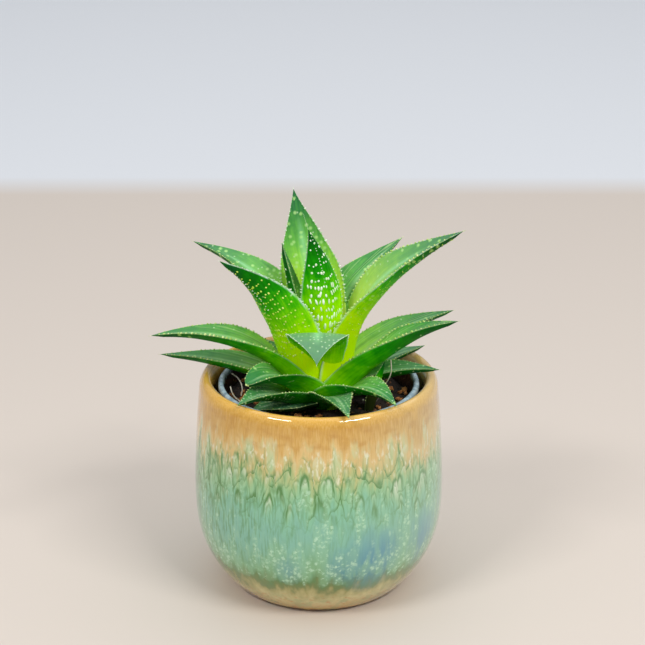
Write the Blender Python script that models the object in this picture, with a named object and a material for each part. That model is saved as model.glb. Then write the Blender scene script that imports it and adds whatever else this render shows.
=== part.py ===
"""A small lace aloe in its plastic nursery pot, standing in a glazed ceramic cover pot.

Metres, +Z up. The origin is the centre of the cover pot's flat foot, and the plant's front looks along -Y.
Leaves grow from a short stem that stands in a plain hole in the soil. Every leaf is one keeled blade along a
bent spine, with toothed margins and raised dots on its back, trimmed where it clasps its inner neighbours.
"""

import math
import random
from dataclasses import dataclass

import bmesh
import bpy
from mathutils import Matrix, Vector

MM = 0.001
CLEARANCE = 0.35 * MM  # air between pieces that touch on the real plant
SHARP_ANGLE = math.radians(35)

# Cover pot: thrown ceramic, widest at the belly
POT_HEIGHT = 66.2 * MM
POT_FOOT_RADIUS = 25.2 * MM
POT_BELLY_RADIUS = 37.5 * MM
POT_BELLY_HEIGHT = 33.0 * MM
POT_BELLY_FULLNESS = 2.9
POT_NECK_RADIUS = 35.7 * MM
POT_NECK_HEIGHT = 62.2 * MM
POT_NECK_BEND = 1.4
POT_WALL = 4.4 * MM
POT_FLOOR = 6.5 * MM
POT_FOOT_RINGS = 7
POT_WALL_RINGS = 3
POT_LIP_STEPS = 6
POT_SIDES = 48

# Nursery pot: thin tapered plastic with a small outward rim
LINER_RIM_RADIUS = 30.0 * MM
LINER_RIM_TOP = 64.5 * MM
LINER_RIM_DEPTH = 2.2 * MM
LINER_RIM_WIDTH = 1.7 * MM
LINER_RIM_BEVEL = 0.5 * MM
LINER_WALL = 1.0 * MM
LINER_BASE_RADIUS = 21.0 * MM
LINER_FOOT = POT_FLOOR + 0.3 * MM
LINER_SIDES = 44
DRAIN_RADIUS = 2.4 * MM
DRAIN_CIRCLE = 11.5 * MM
DRAIN_COUNT = 4
DRAIN_SIDES = 12

# Soil and the bark chips fused into its surface
SOIL_TOP = 58.2 * MM
SOIL_ROUGHNESS = 0.45 * MM
SOIL_RINGS = 7
SOIL_SIDES = 36
CHIP_COUNT = 30
CHIP_SEED = 4
CHIP_LENGTH = (2.4 * MM, 4.2 * MM)
CHIP_WIDTH = (1.4 * MM, 2.4 * MM)
CHIP_DEPTH = (1.0 * MM, 1.5 * MM)
CHIP_TILT = 0.3
CHIP_FROM_STEM = 4.5 * MM
CHIP_FROM_WALL = 2.6 * MM

# Stem
STEM_RADIUS = 4.6 * MM
STEM_TIP_RADIUS = 1.6 * MM
STEM_FOOT = 48.0 * MM
STEM_TOP = 74.0 * MM
STEM_SHOULDER = SOIL_TOP + 2.0 * MM
STEM_SIDES = 16

# Leaf form, as shares of the leaf's own width and length
LEAF_WIDEST_AT = 0.62  # from the tip
LEAF_BASE_SHARE = 0.95
LEAF_TIP_SHARPNESS = 1.15
LEAF_CHANNEL = 0.15
LEAF_CLASP = 0.11  # deeper channel at the root, where the blade wraps round the stem
LEAF_CLASP_TO = 0.35
LEAF_THICKNESS = 0.15
LEAF_KEEL_ROUNDNESS = 1.8
LEAF_TIP_WIDTH = 0.7 * MM
LEAF_LEAST_STEPS = 9
LEAF_EDGE = 0.62 * MM
LEAF_STEP = 3.5 * MM
LEAF_TURN_BY = 0.6  # share of the length over which the blade turns from its root's bearing to its tip's
LEAF_ACROSS = (-1.0, -0.58, 0.0, 0.58, 1.0)
LEAF_ROOT_HANDLE = 0.42
LEAF_TIP_HANDLE = 0.38

# Teeth and raised dots, and the stretch of the leaf that has them, from its root (0) to its tip (1)
TOOTH = 0.55 * MM
TEETH_FROM = 0.3
TUBERCLE = 0.4 * MM
TUBERCLES_FROM = 0.38
TUBERCLES_TO = 0.9
KEEL_TOOTH = 0.45 * MM
KEEL_TEETH_FROM = 0.62


@dataclass
class Leaf:
    """A leaf's place and pose, in mm and degrees. Bearing 0 is +X, 90 the back of the pot, 270 its front."""

    name: str
    facing: tuple  # bearing that the blade's back looks to, at its root and at its tip
    root: tuple  # distance from the stem's axis, and height; or x, y and z
    rise: float  # slope at which it leaves its root
    tip: tuple
    fall: float  # slope at the tip
    width: float
    arch: float = 1.0  # more bows the blade further
    hollow: float = 1.0  # less flattens its channel
    widest: float = LEAF_WIDEST_AT
    base: float = LEAF_BASE_SHARE
    sharp: float = LEAF_TIP_SHARPNESS
    thick: float = LEAF_THICKNESS


# From the middle of the rosette outwards: each leaf clasps the ones above it in this list
LEAVES = (
    Leaf("leaf_inner_back", (97, 97), (1.0, 71), 84, (-7.6, 15.0, 119.8), 70, 18.6),
    Leaf("leaf_inner_front", (296, 296), (1.5, 69), 86, (-4.6, -3.0, 117.4), 72, 13.6),
    Leaf("leaf_inner_left", (172, 172), (2.0, 70), 86, (-10.9, 1.0, 107.5), 72, 9.0),
    Leaf("leaf_upper_right", (344, 374), (2.4, 66), 85,
         (42.4, -9.0, 114.0), 23, 17.6, arch=1.07, thick=0.19),
    Leaf("leaf_upper_left", (238, 246), (-3.4, -1.7, 64.0), 80, (-29.0, -14.0, 106.5), 24, 17.6),
    Leaf("leaf_upper_back_left", (150, 140), (2.0, 66), 82,
         (-38.9, 22.4, 100.3), 2, 14.5, arch=1.12),
    Leaf("leaf_upper_back_right", (54, 60), (2.5, 66), 86,
         (26.1, 24.3, 101.3), 16, 14.5, arch=1.18),
    Leaf("leaf_upper_front", (268, 268), (4.2, 63), 85,
         (-0.5, -28.5, 79.4), -45, 18.0, arch=1.54, hollow=-0.2, widest=0.42, base=0.6, sharp=1.25),
    Leaf("leaf_middle_left", (210, 180), (3.2, 62), 64, (-50.2, -4.5, 79.6), -14, 13.8, arch=1.06),
    Leaf("leaf_middle_right", (318, 344), (3.2, 61), 55,
         (41.0, -15.0, 88.4), 8, 14.5, arch=1.04, thick=0.2),
    Leaf("leaf_middle_back_right", (30, 30), (2.5, 62), 46, (41.7, 16.9, 80.0), 0, 12.5),
    Leaf("leaf_middle_back_left", (122, 116), (2.5, 63), 62, (-17.0, 36.0, 77.0), -8, 12.5),
    Leaf("leaf_middle_back", (74, 74), (2.5, 62), 62, (11.5, 39.0, 76.0), -8, 12.5),
    Leaf("leaf_lower_left", (178, 162), (2.5, 60), 38, (-48.5, 6.8, 69.5), -6, 11.5),
    Leaf("leaf_middle_front_left", (244, 222), (4.0, 61), 56,
         (-21.0, -21.5, 71.0), -34, 14.0, arch=1.1, sharp=0.55),
    Leaf("leaf_lower_front_right", (292, 306), (4.0, 59.5), 48,
         (22.6, -30.0, 67.5), -36, 13.0, arch=1.05),
    Leaf("leaf_lower_right", (350, 355), (2.5, 60), 44, (36.3, -5.1, 69.2), -10, 11.5),
    Leaf("leaf_lower_back_right", (30, 30), (2.5, 60), 34, (33.0, 17.8, 68.2), 0, 11.0),
    Leaf("leaf_lower_back", (94, 94), (2.5, 60), 38, (-2.6, 38.0, 68.5), -6, 11.5),
    Leaf("leaf_lower_back_left", (138, 136), (2.5, 60), 38, (-26.0, 24.0, 69.0), -6, 11.0),
    Leaf("leaf_lower_front_left", (236, 232), (3.0, 59), 38, (-23.5, -29.0, 67.6), -16, 13.0),
    Leaf("leaf_lower_front", (280, 284), (3.0, 59.0), 38, (8.8, -37.6, 67.2), -18, 11.5, arch=1.05),
    Leaf("leaf_lowest_front_left", (250, 232), (3.0, 60.5), 14,
         (-20.0, -17.0, 61.0), -12, 14.0, hollow=0.4),
    Leaf("leaf_lowest_back_right", (60, 56), (2.5, 58.0), 26, (17.0, 24.0, 67.0), -2, 9.5),
)
# A young offset that stands in a hole of its own in the soil, beside the plant
OFFSET = Leaf("leaf_offset", (322, 322), (14.4, -8.0, 55.0), 86,
              (19.5, -12.0, 75.2), 60, 4.6, arch=0.9, base=0.25)


def clear_scene():
    for item in list(bpy.data.objects):
        bpy.data.objects.remove(item, do_unlink=True)


def make_material(name, colour, roughness):
    material = bpy.data.materials.new(name)
    material.use_nodes = True
    shader = material.node_tree.nodes["Principled BSDF"]
    shader.inputs["Base Color"].default_value = (*colour, 1.0)
    shader.inputs["Roughness"].default_value = roughness
    shader.inputs["Metallic"].default_value = 0.0
    material.diffuse_color = (*colour, 1.0)
    return material


def add_object(name, bm, material=None):
    mesh = bpy.data.meshes.new(name)
    bm.to_mesh(mesh)
    bm.free()
    mesh.shade_smooth()
    mesh.set_sharp_from_angle(angle=SHARP_ANGLE)
    item = bpy.data.objects.new(name, mesh)
    bpy.context.scene.collection.objects.link(item)
    if material is not None:
        mesh.materials.append(material)
    return item


def as_cutter(item):
    item.hide_render = True
    item.display_type = "WIRE"
    return item


def turn_profile(bm, profile, sides):
    """Spin a closed profile, given as (radius, height) points, once round the Z axis."""
    points = [bm.verts.new((radius, 0.0, height)) for radius, height in profile]
    on_axis = [point for point in points if point.co.x < 1e-9]
    edges = [bm.edges.new(pair) for pair in zip(points, points[1:])]
    if not on_axis:
        edges.append(bm.edges.new((points[-1], points[0])))
    bmesh.ops.spin(
        bm, geom=points + edges, axis=(0, 0, 1), cent=(0, 0, 0), angle=math.tau, steps=sides, use_merge=True
    )
    bmesh.ops.remove_doubles(bm, verts=bm.verts, dist=1e-6)
    bmesh.ops.recalc_face_normals(bm, faces=bm.faces)


def apply_modifiers(item):
    depsgraph = bpy.context.evaluated_depsgraph_get()
    finished = bpy.data.meshes.new_from_object(item.evaluated_get(depsgraph))
    worn = item.data
    item.modifiers.clear()
    item.data = finished
    bpy.data.meshes.remove(worn)


def cut_away(item, cutter, solver="EXACT"):
    modifier = item.modifiers.new("cut", "BOOLEAN")
    modifier.operation = "DIFFERENCE"
    modifier.solver = solver
    modifier.object = cutter
    apply_modifiers(item)


def keep_largest_island(item):
    """A trim can leave crumbs behind a neighbour; the leaf is the one body with the most faces' area."""
    bm = bmesh.new()
    bm.from_mesh(item.data)
    unseen = set(bm.faces)
    islands = []
    while unseen:
        island, frontier = set(), [unseen.pop()]
        while frontier:
            face = frontier.pop()
            island.add(face)
            near = {other for edge in face.edges for other in edge.link_faces} & unseen
            unseen -= near
            frontier.extend(near)
        islands.append(island)
    islands.sort(key=lambda island: sum(face.calc_area() for face in island))
    crumbs = [face for island in islands[:-1] for face in island]
    bmesh.ops.delete(bm, geom=crumbs, context="FACES")
    bm.to_mesh(item.data)
    bm.free()


def pot_radius(height):
    """Outer radius of the cover pot between its foot and its neck."""
    if height <= POT_BELLY_HEIGHT:
        below = 1.0 - (1.0 - height / POT_BELLY_HEIGHT) ** POT_BELLY_FULLNESS
        return POT_FOOT_RADIUS + (POT_BELLY_RADIUS - POT_FOOT_RADIUS) * below
    above = (height - POT_BELLY_HEIGHT) / (POT_NECK_HEIGHT - POT_BELLY_HEIGHT)
    return POT_BELLY_RADIUS - (POT_BELLY_RADIUS - POT_NECK_RADIUS) * above**POT_NECK_BEND


def cover_pot(material):
    foot_heights = [POT_BELLY_HEIGHT * (ring / POT_FOOT_RINGS) ** 1.6 for ring in range(POT_FOOT_RINGS)]
    wall = POT_NECK_HEIGHT - POT_BELLY_HEIGHT
    wall_heights = [POT_BELLY_HEIGHT + wall * ring / POT_WALL_RINGS for ring in range(POT_WALL_RINGS + 1)]
    outside = [(pot_radius(height), height) for height in foot_heights + wall_heights]
    lip_centre = POT_NECK_RADIUS - POT_WALL / 2
    lip_rise = POT_HEIGHT - POT_NECK_HEIGHT
    lip = [
        (lip_centre + POT_WALL / 2 * math.cos(turn), POT_NECK_HEIGHT + lip_rise * math.sin(turn))
        for turn in (math.pi * step / POT_LIP_STEPS for step in range(1, POT_LIP_STEPS))
    ]
    inside_heights = [height for height in wall_heights[::-1] + foot_heights[::-1] if height > 2 * POT_FLOOR]
    inside = [(pot_radius(height) - POT_WALL, height) for height in inside_heights]
    floor = [(pot_radius(POT_FLOOR) - POT_WALL, POT_FLOOR), (0.0, POT_FLOOR)]
    bm = bmesh.new()
    turn_profile(bm, [(0.0, 0.0)] + outside + lip + inside + floor, POT_SIDES)
    return add_object("cover_pot", bm, material)


def liner_inside(height):
    """Inner radius of the nursery pot at a height."""
    top = LINER_RIM_RADIUS - LINER_RIM_WIDTH
    base = LINER_BASE_RADIUS - LINER_WALL
    return base + (top - base) * (height - LINER_FOOT) / (LINER_RIM_TOP - LINER_FOOT)


def nursery_pot(material):
    rim_foot = LINER_RIM_TOP - LINER_RIM_DEPTH
    floor = LINER_FOOT + LINER_WALL
    profile = [
        (0.0, LINER_FOOT),
        (LINER_BASE_RADIUS, LINER_FOOT),
        (liner_inside(rim_foot) + LINER_WALL, rim_foot),
        (LINER_RIM_RADIUS, rim_foot),
        (LINER_RIM_RADIUS, LINER_RIM_TOP - LINER_RIM_BEVEL),
        (LINER_RIM_RADIUS - LINER_RIM_BEVEL, LINER_RIM_TOP),
        (liner_inside(LINER_RIM_TOP), LINER_RIM_TOP),
        (liner_inside(floor), floor),
        (0.0, floor),
    ]
    bm = bmesh.new()
    turn_profile(bm, profile, LINER_SIDES)
    pot = add_object("nursery_pot", bm, material)
    for hole in range(DRAIN_COUNT):
        bearing = math.tau * hole / DRAIN_COUNT
        bm = bmesh.new()
        middle = Vector((DRAIN_CIRCLE, 0, LINER_FOOT + LINER_WALL / 2))
        place = Matrix.Rotation(bearing, 4, "Z") @ Matrix.Translation(middle)
        bmesh.ops.create_cone(
            bm,
            cap_ends=True,
            segments=DRAIN_SIDES,
            radius1=DRAIN_RADIUS,
            radius2=DRAIN_RADIUS,
            depth=4 * LINER_WALL,
            matrix=place,
        )
        cutter = as_cutter(add_object("drain_cutter", bm))
        cut_away(pot, cutter)
        bpy.data.objects.remove(cutter, do_unlink=True)
    return pot


SOIL_HOLE = STEM_RADIUS + CLEARANCE
SOIL_RIM = liner_inside(SOIL_TOP) - CLEARANCE


def soil_height(x, y):
    """Uneven surface of the soil: three crossed ripples."""
    broad = math.sin(310 * x + 1.0) * math.cos(270 * y)
    oblique = 0.7 * math.sin(520 * y + 260 * x)
    fine = 0.5 * math.cos(700 * x)
    return SOIL_TOP + SOIL_ROUGHNESS * (broad + oblique + fine)


def turn_ground(profile, lift=0.0):
    """Spin a profile whose level top at SOIL_TOP becomes the soil's uneven surface, lifted by a clearance."""
    bm = bmesh.new()
    turn_profile(bm, profile, SOIL_SIDES)
    for vertex in bm.verts:
        if abs(vertex.co.z - SOIL_TOP) < 1e-7:
            vertex.co.z = soil_height(vertex.co.x, vertex.co.y) + lift
    bmesh.ops.recalc_face_normals(bm, faces=bm.faces)
    bmesh.ops.triangulate(bm, faces=bm.faces)
    return bm


def ground_rings(hole, rim):
    return [(hole + (rim - hole) * ring / SOIL_RINGS, SOIL_TOP) for ring in range(SOIL_RINGS + 1)]


def potting_soil(material):
    foot = LINER_FOOT + LINER_WALL + CLEARANCE
    hole_foot = STEM_FOOT - CLEARANCE
    top = ground_rings(SOIL_HOLE, SOIL_RIM)
    profile = [(0.0, hole_foot), (SOIL_HOLE, hole_foot)] + top
    profile += [(liner_inside(foot) - CLEARANCE, foot), (0.0, foot)]
    return add_object("potting_soil", turn_ground(profile), material)


def ground_cutter():
    """What the leaves keep out of: the top of the soil, with a clearance above it."""
    profile = [(0.0, SOIL_TOP)] + ground_rings(SOIL_HOLE, SOIL_RIM)
    profile += [(SOIL_RIM, STEM_FOOT), (0.0, STEM_FOOT)]
    return as_cutter(add_object("ground_cutter", turn_ground(profile, CLEARANCE)))


def fuse_chips(soil, leaves):
    chips = bark_chips(leaves)
    modifier = soil.modifiers.new("chips", "BOOLEAN")
    modifier.operation = "UNION"
    modifier.solver = "EXACT"
    modifier.operand_type = "COLLECTION"
    modifier.collection = chips
    apply_modifiers(soil)
    for chip in list(chips.objects):
        bpy.data.objects.remove(chip, do_unlink=True)
    bpy.data.collections.remove(chips)


def bark_chips(leaves):
    """Flat splinters of bark at random turns, half sunk in the soil wherever no leaf is near."""
    draw = random.Random(CHIP_SEED)
    chips = bpy.data.collections.new("chips")
    bpy.context.scene.collection.children.link(chips)
    for count in range(CHIP_COUNT):
        length, width, depth = (draw.uniform(*span) for span in (CHIP_LENGTH, CHIP_WIDTH, CHIP_DEPTH))
        reach = draw.uniform(SOIL_HOLE + CHIP_FROM_STEM, SOIL_RIM - CHIP_FROM_WALL)
        bearing = math.tau * draw.random()
        x, y = reach * math.cos(bearing), reach * math.sin(bearing)
        tilt = Matrix.Rotation(draw.uniform(-CHIP_TILT, CHIP_TILT), 4, "X")
        turn = Matrix.Rotation(draw.uniform(0, math.tau), 4, "Z") @ tilt
        centre = Vector((x, y, soil_height(x, y)))
        if any(leaf.closest_point_on_mesh(centre, distance=length / 2 + 2 * CLEARANCE)[0] for leaf in leaves):
            continue
        bm = bmesh.new()
        bmesh.ops.create_cube(bm, size=1.0, matrix=Matrix.Diagonal((length, width, depth, 1.0)))
        bmesh.ops.transform(bm, matrix=Matrix.Translation(centre) @ turn, verts=bm.verts)
        chip = add_object(f"chip_{count}", bm)
        bpy.context.scene.collection.objects.unlink(chip)
        chips.objects.link(chip)
    return chips


def stem_profile(grow):
    """Straight in the soil, then tapering to a blunt growing point."""
    return [
        (0.0, STEM_FOOT - grow),
        (STEM_RADIUS + grow, STEM_FOOT - grow),
        (STEM_RADIUS + grow, STEM_SHOULDER),
        (STEM_TIP_RADIUS + grow, STEM_TOP - 1 * MM),
        (STEM_TIP_RADIUS / 2 + grow, STEM_TOP + grow),
        (0.0, STEM_TOP + grow),
    ]


def stem(material=None, name="stem", grow=0.0):
    bm = bmesh.new()
    turn_profile(bm, stem_profile(grow), STEM_SIDES)
    return add_object(name, bm, material)


def direction(bearing, slope):
    bearing, slope = math.radians(bearing), math.radians(slope)
    flat = math.cos(slope)
    return Vector((flat * math.cos(bearing), flat * math.sin(bearing), math.sin(slope)))


class Spine:
    """A cubic curve from the root to the leaf's tip, with the blade's own axes along it."""

    def __init__(self, leaf):
        if len(leaf.root) == 3:
            self.root = Vector(leaf.root) * MM
        else:
            reach, height = leaf.root
            self.root = (reach * direction(leaf.facing[0], 0) + Vector((0, 0, height))) * MM
        self.facing = leaf.facing
        self.tip = Vector(leaf.tip) * MM
        chord = (self.tip - self.root).length
        heading = math.degrees(math.atan2(self.tip.y - self.root.y, self.tip.x - self.root.x))
        bow = leaf.arch * chord
        self.root_handle = self.root + LEAF_ROOT_HANDLE * bow * direction(leaf.facing[0], leaf.rise)
        self.tip_handle = self.tip - LEAF_TIP_HANDLE * bow * direction(heading, leaf.fall)

    def point(self, along):
        rest = 1.0 - along
        return (
            rest**3 * self.root
            + 3 * rest**2 * along * self.root_handle
            + 3 * rest * along**2 * self.tip_handle
            + along**3 * self.tip
        )

    def axes(self, along):
        """Unit vectors along the blade, across it, and out of its upper face."""
        forward = (self.point(min(along + 0.01, 1.0)) - self.point(max(along - 0.01, 0.0))).normalized()
        turned = min(1.0, along / LEAF_TURN_BY) ** 2
        side = direction(self.facing[0] + (self.facing[1] - self.facing[0]) * turned + 90, 0)
        across = (side - side.dot(forward) * forward).normalized()
        return forward, across, forward.cross(across)

    def length(self):
        stations = [self.point(step / 20) for step in range(21)]
        return sum((b - a).length for a, b in zip(stations, stations[1:]))


def blade_share(leaf, along):
    """Width of the blade as a share of its widest, from root (0) to tip (1)."""
    to_tip = 1.0 - along
    if to_tip < leaf.widest:
        return math.sin(math.pi / 2 * to_tip / leaf.widest) ** leaf.sharp
    return 1.0 - (1.0 - leaf.base) * ((to_tip - leaf.widest) / (1.0 - leaf.widest)) ** 2


def blade_section(leaf, along, grow=0.0, relief=0.0):
    """Crescent outline: the channelled upper face from margin to margin, then the keeled back.

    grow thickens it all round, and relief adds room for the teeth and the raised dots where a leaf has them.
    """
    width = max(leaf.width * MM * blade_share(leaf, along), LEAF_TIP_WIDTH)
    clasp = LEAF_CLASP * max(0.0, 1.0 - along / LEAF_CLASP_TO) ** 2
    channel = (leaf.hollow * LEAF_CHANNEL + clasp) * width
    keel = channel + leaf.thick * leaf.width * MM * blade_share(leaf, along) ** 0.8
    half = width / 2 + grow + (relief if along > TEETH_FROM else 0.0)
    behind = LEAF_EDGE + grow + (relief if along > TUBERCLES_FROM else 0.0)
    upper = [(u * half, grow - channel * (1 - u * u)) for u in LEAF_ACROSS]
    back = [(u * half, -behind - keel * (1 - abs(u) ** LEAF_KEEL_ROUNDNESS)) for u in LEAF_ACROSS[::-1]]
    return upper + back


def blade(leaf, spine, grow=0.0, relief=0.0):
    """The smooth leaf as a closed mesh, with its rings of points and the faces between them."""
    steps = max(LEAF_LEAST_STEPS, round(spine.length() / LEAF_STEP))
    bm = bmesh.new()
    rings = []
    for step in range(steps):
        along = step / steps
        forward, across, up = spine.axes(along)
        centre = spine.point(along) - (grow * forward if step == 0 else Vector())
        section = blade_section(leaf, along, grow, relief)
        rings.append([bm.verts.new(centre + x * across + z * up) for x, z in section])
    forward, across, up = spine.axes(1.0)
    tip = bm.verts.new(spine.tip + 1.5 * grow * forward - LEAF_EDGE / 2 * up)
    count = len(rings[0])
    faces = {}
    for step, (near, far) in enumerate(zip(rings, rings[1:])):
        for k in range(count):
            following = (k + 1) % count
            faces[step, k] = bm.faces.new((near[k], far[k], far[following], near[following]))
    for k in range(count):
        bm.faces.new((rings[-1][k], tip, rings[-1][(k + 1) % count]))
    for k in range(count // 2 - 1):
        bm.faces.new((rings[0][k], rings[0][k + 1], rings[0][count - 2 - k], rings[0][count - 1 - k]))
    bmesh.ops.recalc_face_normals(bm, faces=bm.faces)
    return bm, rings, faces


def leaf_object(leaf, spine, material):
    """One leaf with teeth on its margins, a toothed keel and raised dots on its back."""
    bm, rings, faces = blade(leaf, spine)
    steps = len(rings)
    count = len(rings[0])
    half = count // 2
    keel = half + half // 2
    for step in range(1, steps, 2):
        if step / steps > KEEL_TEETH_FROM:
            rings[step][keel].co -= KEEL_TOOTH * spine.axes(step / steps)[2]
    toothed = []
    dotted = []
    for (step, k), face in faces.items():
        along = step / steps
        if k in (half - 1, count - 1):
            if along > TEETH_FROM:
                toothed.append(face)
        elif k >= half and (step + k) % 2 == 0 and TUBERCLES_FROM < along < TUBERCLES_TO:
            dotted.append(face)
    bmesh.ops.poke(bm, faces=toothed, offset=TOOTH)
    bmesh.ops.poke(bm, faces=dotted, offset=TUBERCLE)
    bmesh.ops.triangulate(bm, faces=bm.faces)
    return add_object(leaf.name, bm, material)


def grown_blade(leaf, spine):
    bm, _, _ = blade(leaf, spine, grow=CLEARANCE, relief=TOOTH)
    bmesh.ops.triangulate(bm, faces=bm.faces)
    return as_cutter(add_object(f"{leaf.name}_cutter", bm))


def boxes_meet(one, other):
    corners = [[item.matrix_world @ Vector(corner) for corner in item.bound_box] for item in (one, other)]
    return all(
        min(c[axis] for c in corners[0]) < max(c[axis] for c in corners[1])
        and min(c[axis] for c in corners[1]) < max(c[axis] for c in corners[0])
        for axis in range(3)
    )


def plant(material, soil):
    """The offset last, after the leaves from the inside out, each trimmed to clear what is inside it."""
    cutters = [as_cutter(stem(name="stem_cutter", grow=CLEARANCE)), ground_cutter()]
    leaves = []
    for leaf in (*LEAVES, OFFSET):
        spine = Spine(leaf)
        item = leaf_object(leaf, spine, material)
        for cutter in cutters:
            grounded = leaf is OFFSET and cutter.name == "ground_cutter"
            if boxes_meet(item, cutter) and not grounded:
                cut_away(item, cutter, solver="MANIFOLD")
        keep_largest_island(item)
        leaves.append(item)
        cutters.append(grown_blade(leaf, spine))
    cut_away(soil, cutters[-1])
    for cutter in cutters:
        bpy.data.objects.remove(cutter, do_unlink=True)
    fuse_chips(soil, leaves)


def main():
    clear_scene()
    glaze = make_material("glazed_stoneware", (0.45, 0.46, 0.28), 0.15)
    plastic = make_material("nursery_pot_plastic", (0.22, 0.30, 0.34), 0.45)
    earth = make_material("potting_soil", (0.035, 0.022, 0.015), 0.95)
    pith = make_material("stem_tissue", (0.32, 0.42, 0.10), 0.6)
    flesh = make_material("aloe_leaf", (0.05, 0.26, 0.02), 0.4)
    cover_pot(glaze)
    nursery_pot(plastic)
    soil = potting_soil(earth)
    stem(pith)
    plant(flesh, soil)


main()
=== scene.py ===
# %% [markdown]
# # A potted lace aloe
# This lesson dresses a small aloe in its pot. The real plant is a rosette of keeled, water-filled leaves with
# white dots and toothed margins. It grows in a thin plastic nursery pot, which stands in a glazed ceramic
# one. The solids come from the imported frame. Each visible surface is made again here with its fine detail.

# %% Load the frame
import math
import random
from dataclasses import dataclass

import bmesh
import bpy
from mathutils import Matrix, Vector, noise


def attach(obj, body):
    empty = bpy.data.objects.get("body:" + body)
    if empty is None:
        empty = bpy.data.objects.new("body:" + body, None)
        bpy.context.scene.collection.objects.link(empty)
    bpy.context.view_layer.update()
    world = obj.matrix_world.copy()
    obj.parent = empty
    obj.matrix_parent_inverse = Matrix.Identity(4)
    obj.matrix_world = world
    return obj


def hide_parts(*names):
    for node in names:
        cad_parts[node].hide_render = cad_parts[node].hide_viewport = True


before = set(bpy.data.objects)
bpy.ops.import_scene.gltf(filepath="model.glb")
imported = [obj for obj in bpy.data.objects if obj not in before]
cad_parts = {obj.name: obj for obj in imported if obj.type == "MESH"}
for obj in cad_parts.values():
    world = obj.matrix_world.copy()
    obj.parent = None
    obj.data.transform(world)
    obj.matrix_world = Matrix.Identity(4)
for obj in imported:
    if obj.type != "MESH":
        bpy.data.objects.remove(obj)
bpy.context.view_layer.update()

MM = 0.001


# %% [markdown]
# ## Tools for materials
# A colour picked on a screen is an sRGB value, while a shader reckons in linear light, so one function turns
# a hex code into linear values. Another adds a node, sets or links its inputs, and hands back the output that
# the next node needs. Every material below is a short chain of calls to it.


# %% Colours and nodes
def linear(code):
    """sRGB hex, such as 7FB37A, to linear red, green, blue and alpha."""
    channels = [int(code[place : place + 2], 16) / 255 for place in (0, 2, 4)]
    return (*(c / 12.92 if c <= 0.04045 else ((c + 0.055) / 1.055) ** 2.4 for c in channels), 1.0)


def connect(tree, node, inputs):
    """Link each input that is given a socket, and set the others."""
    for key, value in inputs.items():
        if isinstance(value, bpy.types.NodeSocket):
            tree.links.new(value, node.inputs[key])
        else:
            node.inputs[key].default_value = value


def add(tree, kind, inputs=None, out=0, stops=(), **settings):
    """Add a node with its settings and links, and hand back one of its outputs. Stops fill a colour ramp."""
    made = tree.nodes.new(f"ShaderNode{kind}")
    for name, value in settings.items():
        setattr(made, name, value)
    connect(tree, made, inputs or {})
    if stops:
        ramp = made.color_ramp.elements
        while len(ramp) < len(stops):
            ramp.new(0.5)
        for element, (place, code) in zip(ramp, stops):
            element.position = place
            element.color = linear(code)
    return made.outputs[out]


def new_material(name):
    """An empty node tree with a Principled shader; returns the material, its tree and the shader."""
    material = bpy.data.materials.new(name)
    material.use_nodes = True
    return material, material.node_tree, material.node_tree.nodes["Principled BSDF"]


print("mid grey in linear light:", round(linear("808080")[0], 3))

# %% [markdown]
# ## Masks and layers
# A natural surface is built up here the way a painter does it: a ground colour, then thin layers of other
# colours, each only where a mask lets it show. A mask is a few factors multiplied, such as a noise, a height
# and a strength. This keeps a material readable, because each layer is one row with its colour and its mask.


# %% Masks and layers
def mask(tree, *factors):
    """The factors multiplied. Each is a socket, a number, or (value, where it gives 0, where it gives 1)."""
    result = None
    for factor in factors:
        if isinstance(factor, tuple):
            value, zero_at, one_at = factor
            factor = add(tree, "MapRange", {"Value": value, "From Min": zero_at, "From Max": one_at})
        if result is None:
            result = factor
        else:
            result = add(tree, "Math", {0: result, 1: factor}, operation="MULTIPLY")
    return result


def layered(tree, colour, *layers):
    """Lay tints over a colour, one after another. Each layer is a hex code and the factors of its mask."""
    for code, *factors in layers:
        # Inputs 6 and 7 are the colours of a mix that is set to RGBA
        mix = {0: mask(tree, *factors), 6: colour, 7: linear(code)}
        colour = add(tree, "Mix", mix, out=2, data_type="RGBA")
    return colour


# %% [markdown]
# ## Turned shapes
# Both pots are thrown or moulded round one axis, so a profile is spun. The profile is a chain of vertices,
# and one full spin with merging closes the skin. Normals are recalculated after the seam is merged.


# %% Spin a profile
MERGE_WITHIN = 0.0001 * MM


def spin_profile(points, sides):
    """A closed skin from (radius, height) points that start and end on the axis."""
    bm = bmesh.new()
    chain = [bm.verts.new((radius, 0.0, height)) for radius, height in points]
    edges = [bm.edges.new(pair) for pair in zip(chain, chain[1:])]
    bmesh.ops.spin(
        bm, geom=chain + edges, axis=(0, 0, 1), cent=(0, 0, 0), angle=math.tau, steps=sides, use_merge=True
    )
    bmesh.ops.remove_doubles(bm, verts=bm.verts, dist=MERGE_WITHIN)
    bmesh.ops.recalc_face_normals(bm, faces=bm.faces)
    return bm


def arc(steps):
    """Angles from 0 to half a turn, for a rounded rim."""
    return [math.pi * step / steps for step in range(steps + 1)]


def paint(verts, slot):
    """Give the faces round some vertices one of the piece's materials."""
    for face in {face for vertex in verts for face in vertex.link_faces}:
        face.material_index = slot


def make_piece(name, bm, materials, replaced):
    """Turn a bmesh into a smooth piece that rides on the plant's one body and stands for a solid."""
    mesh = bpy.data.meshes.new(name)
    bm.to_mesh(mesh)
    bm.free()
    mesh.shade_smooth()
    for material in materials:
        mesh.materials.append(material)
    piece = bpy.data.objects.new(name, mesh)
    bpy.context.scene.collection.objects.link(piece)
    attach(piece, "root")
    if replaced:
        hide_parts(replaced)
    return piece


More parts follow.
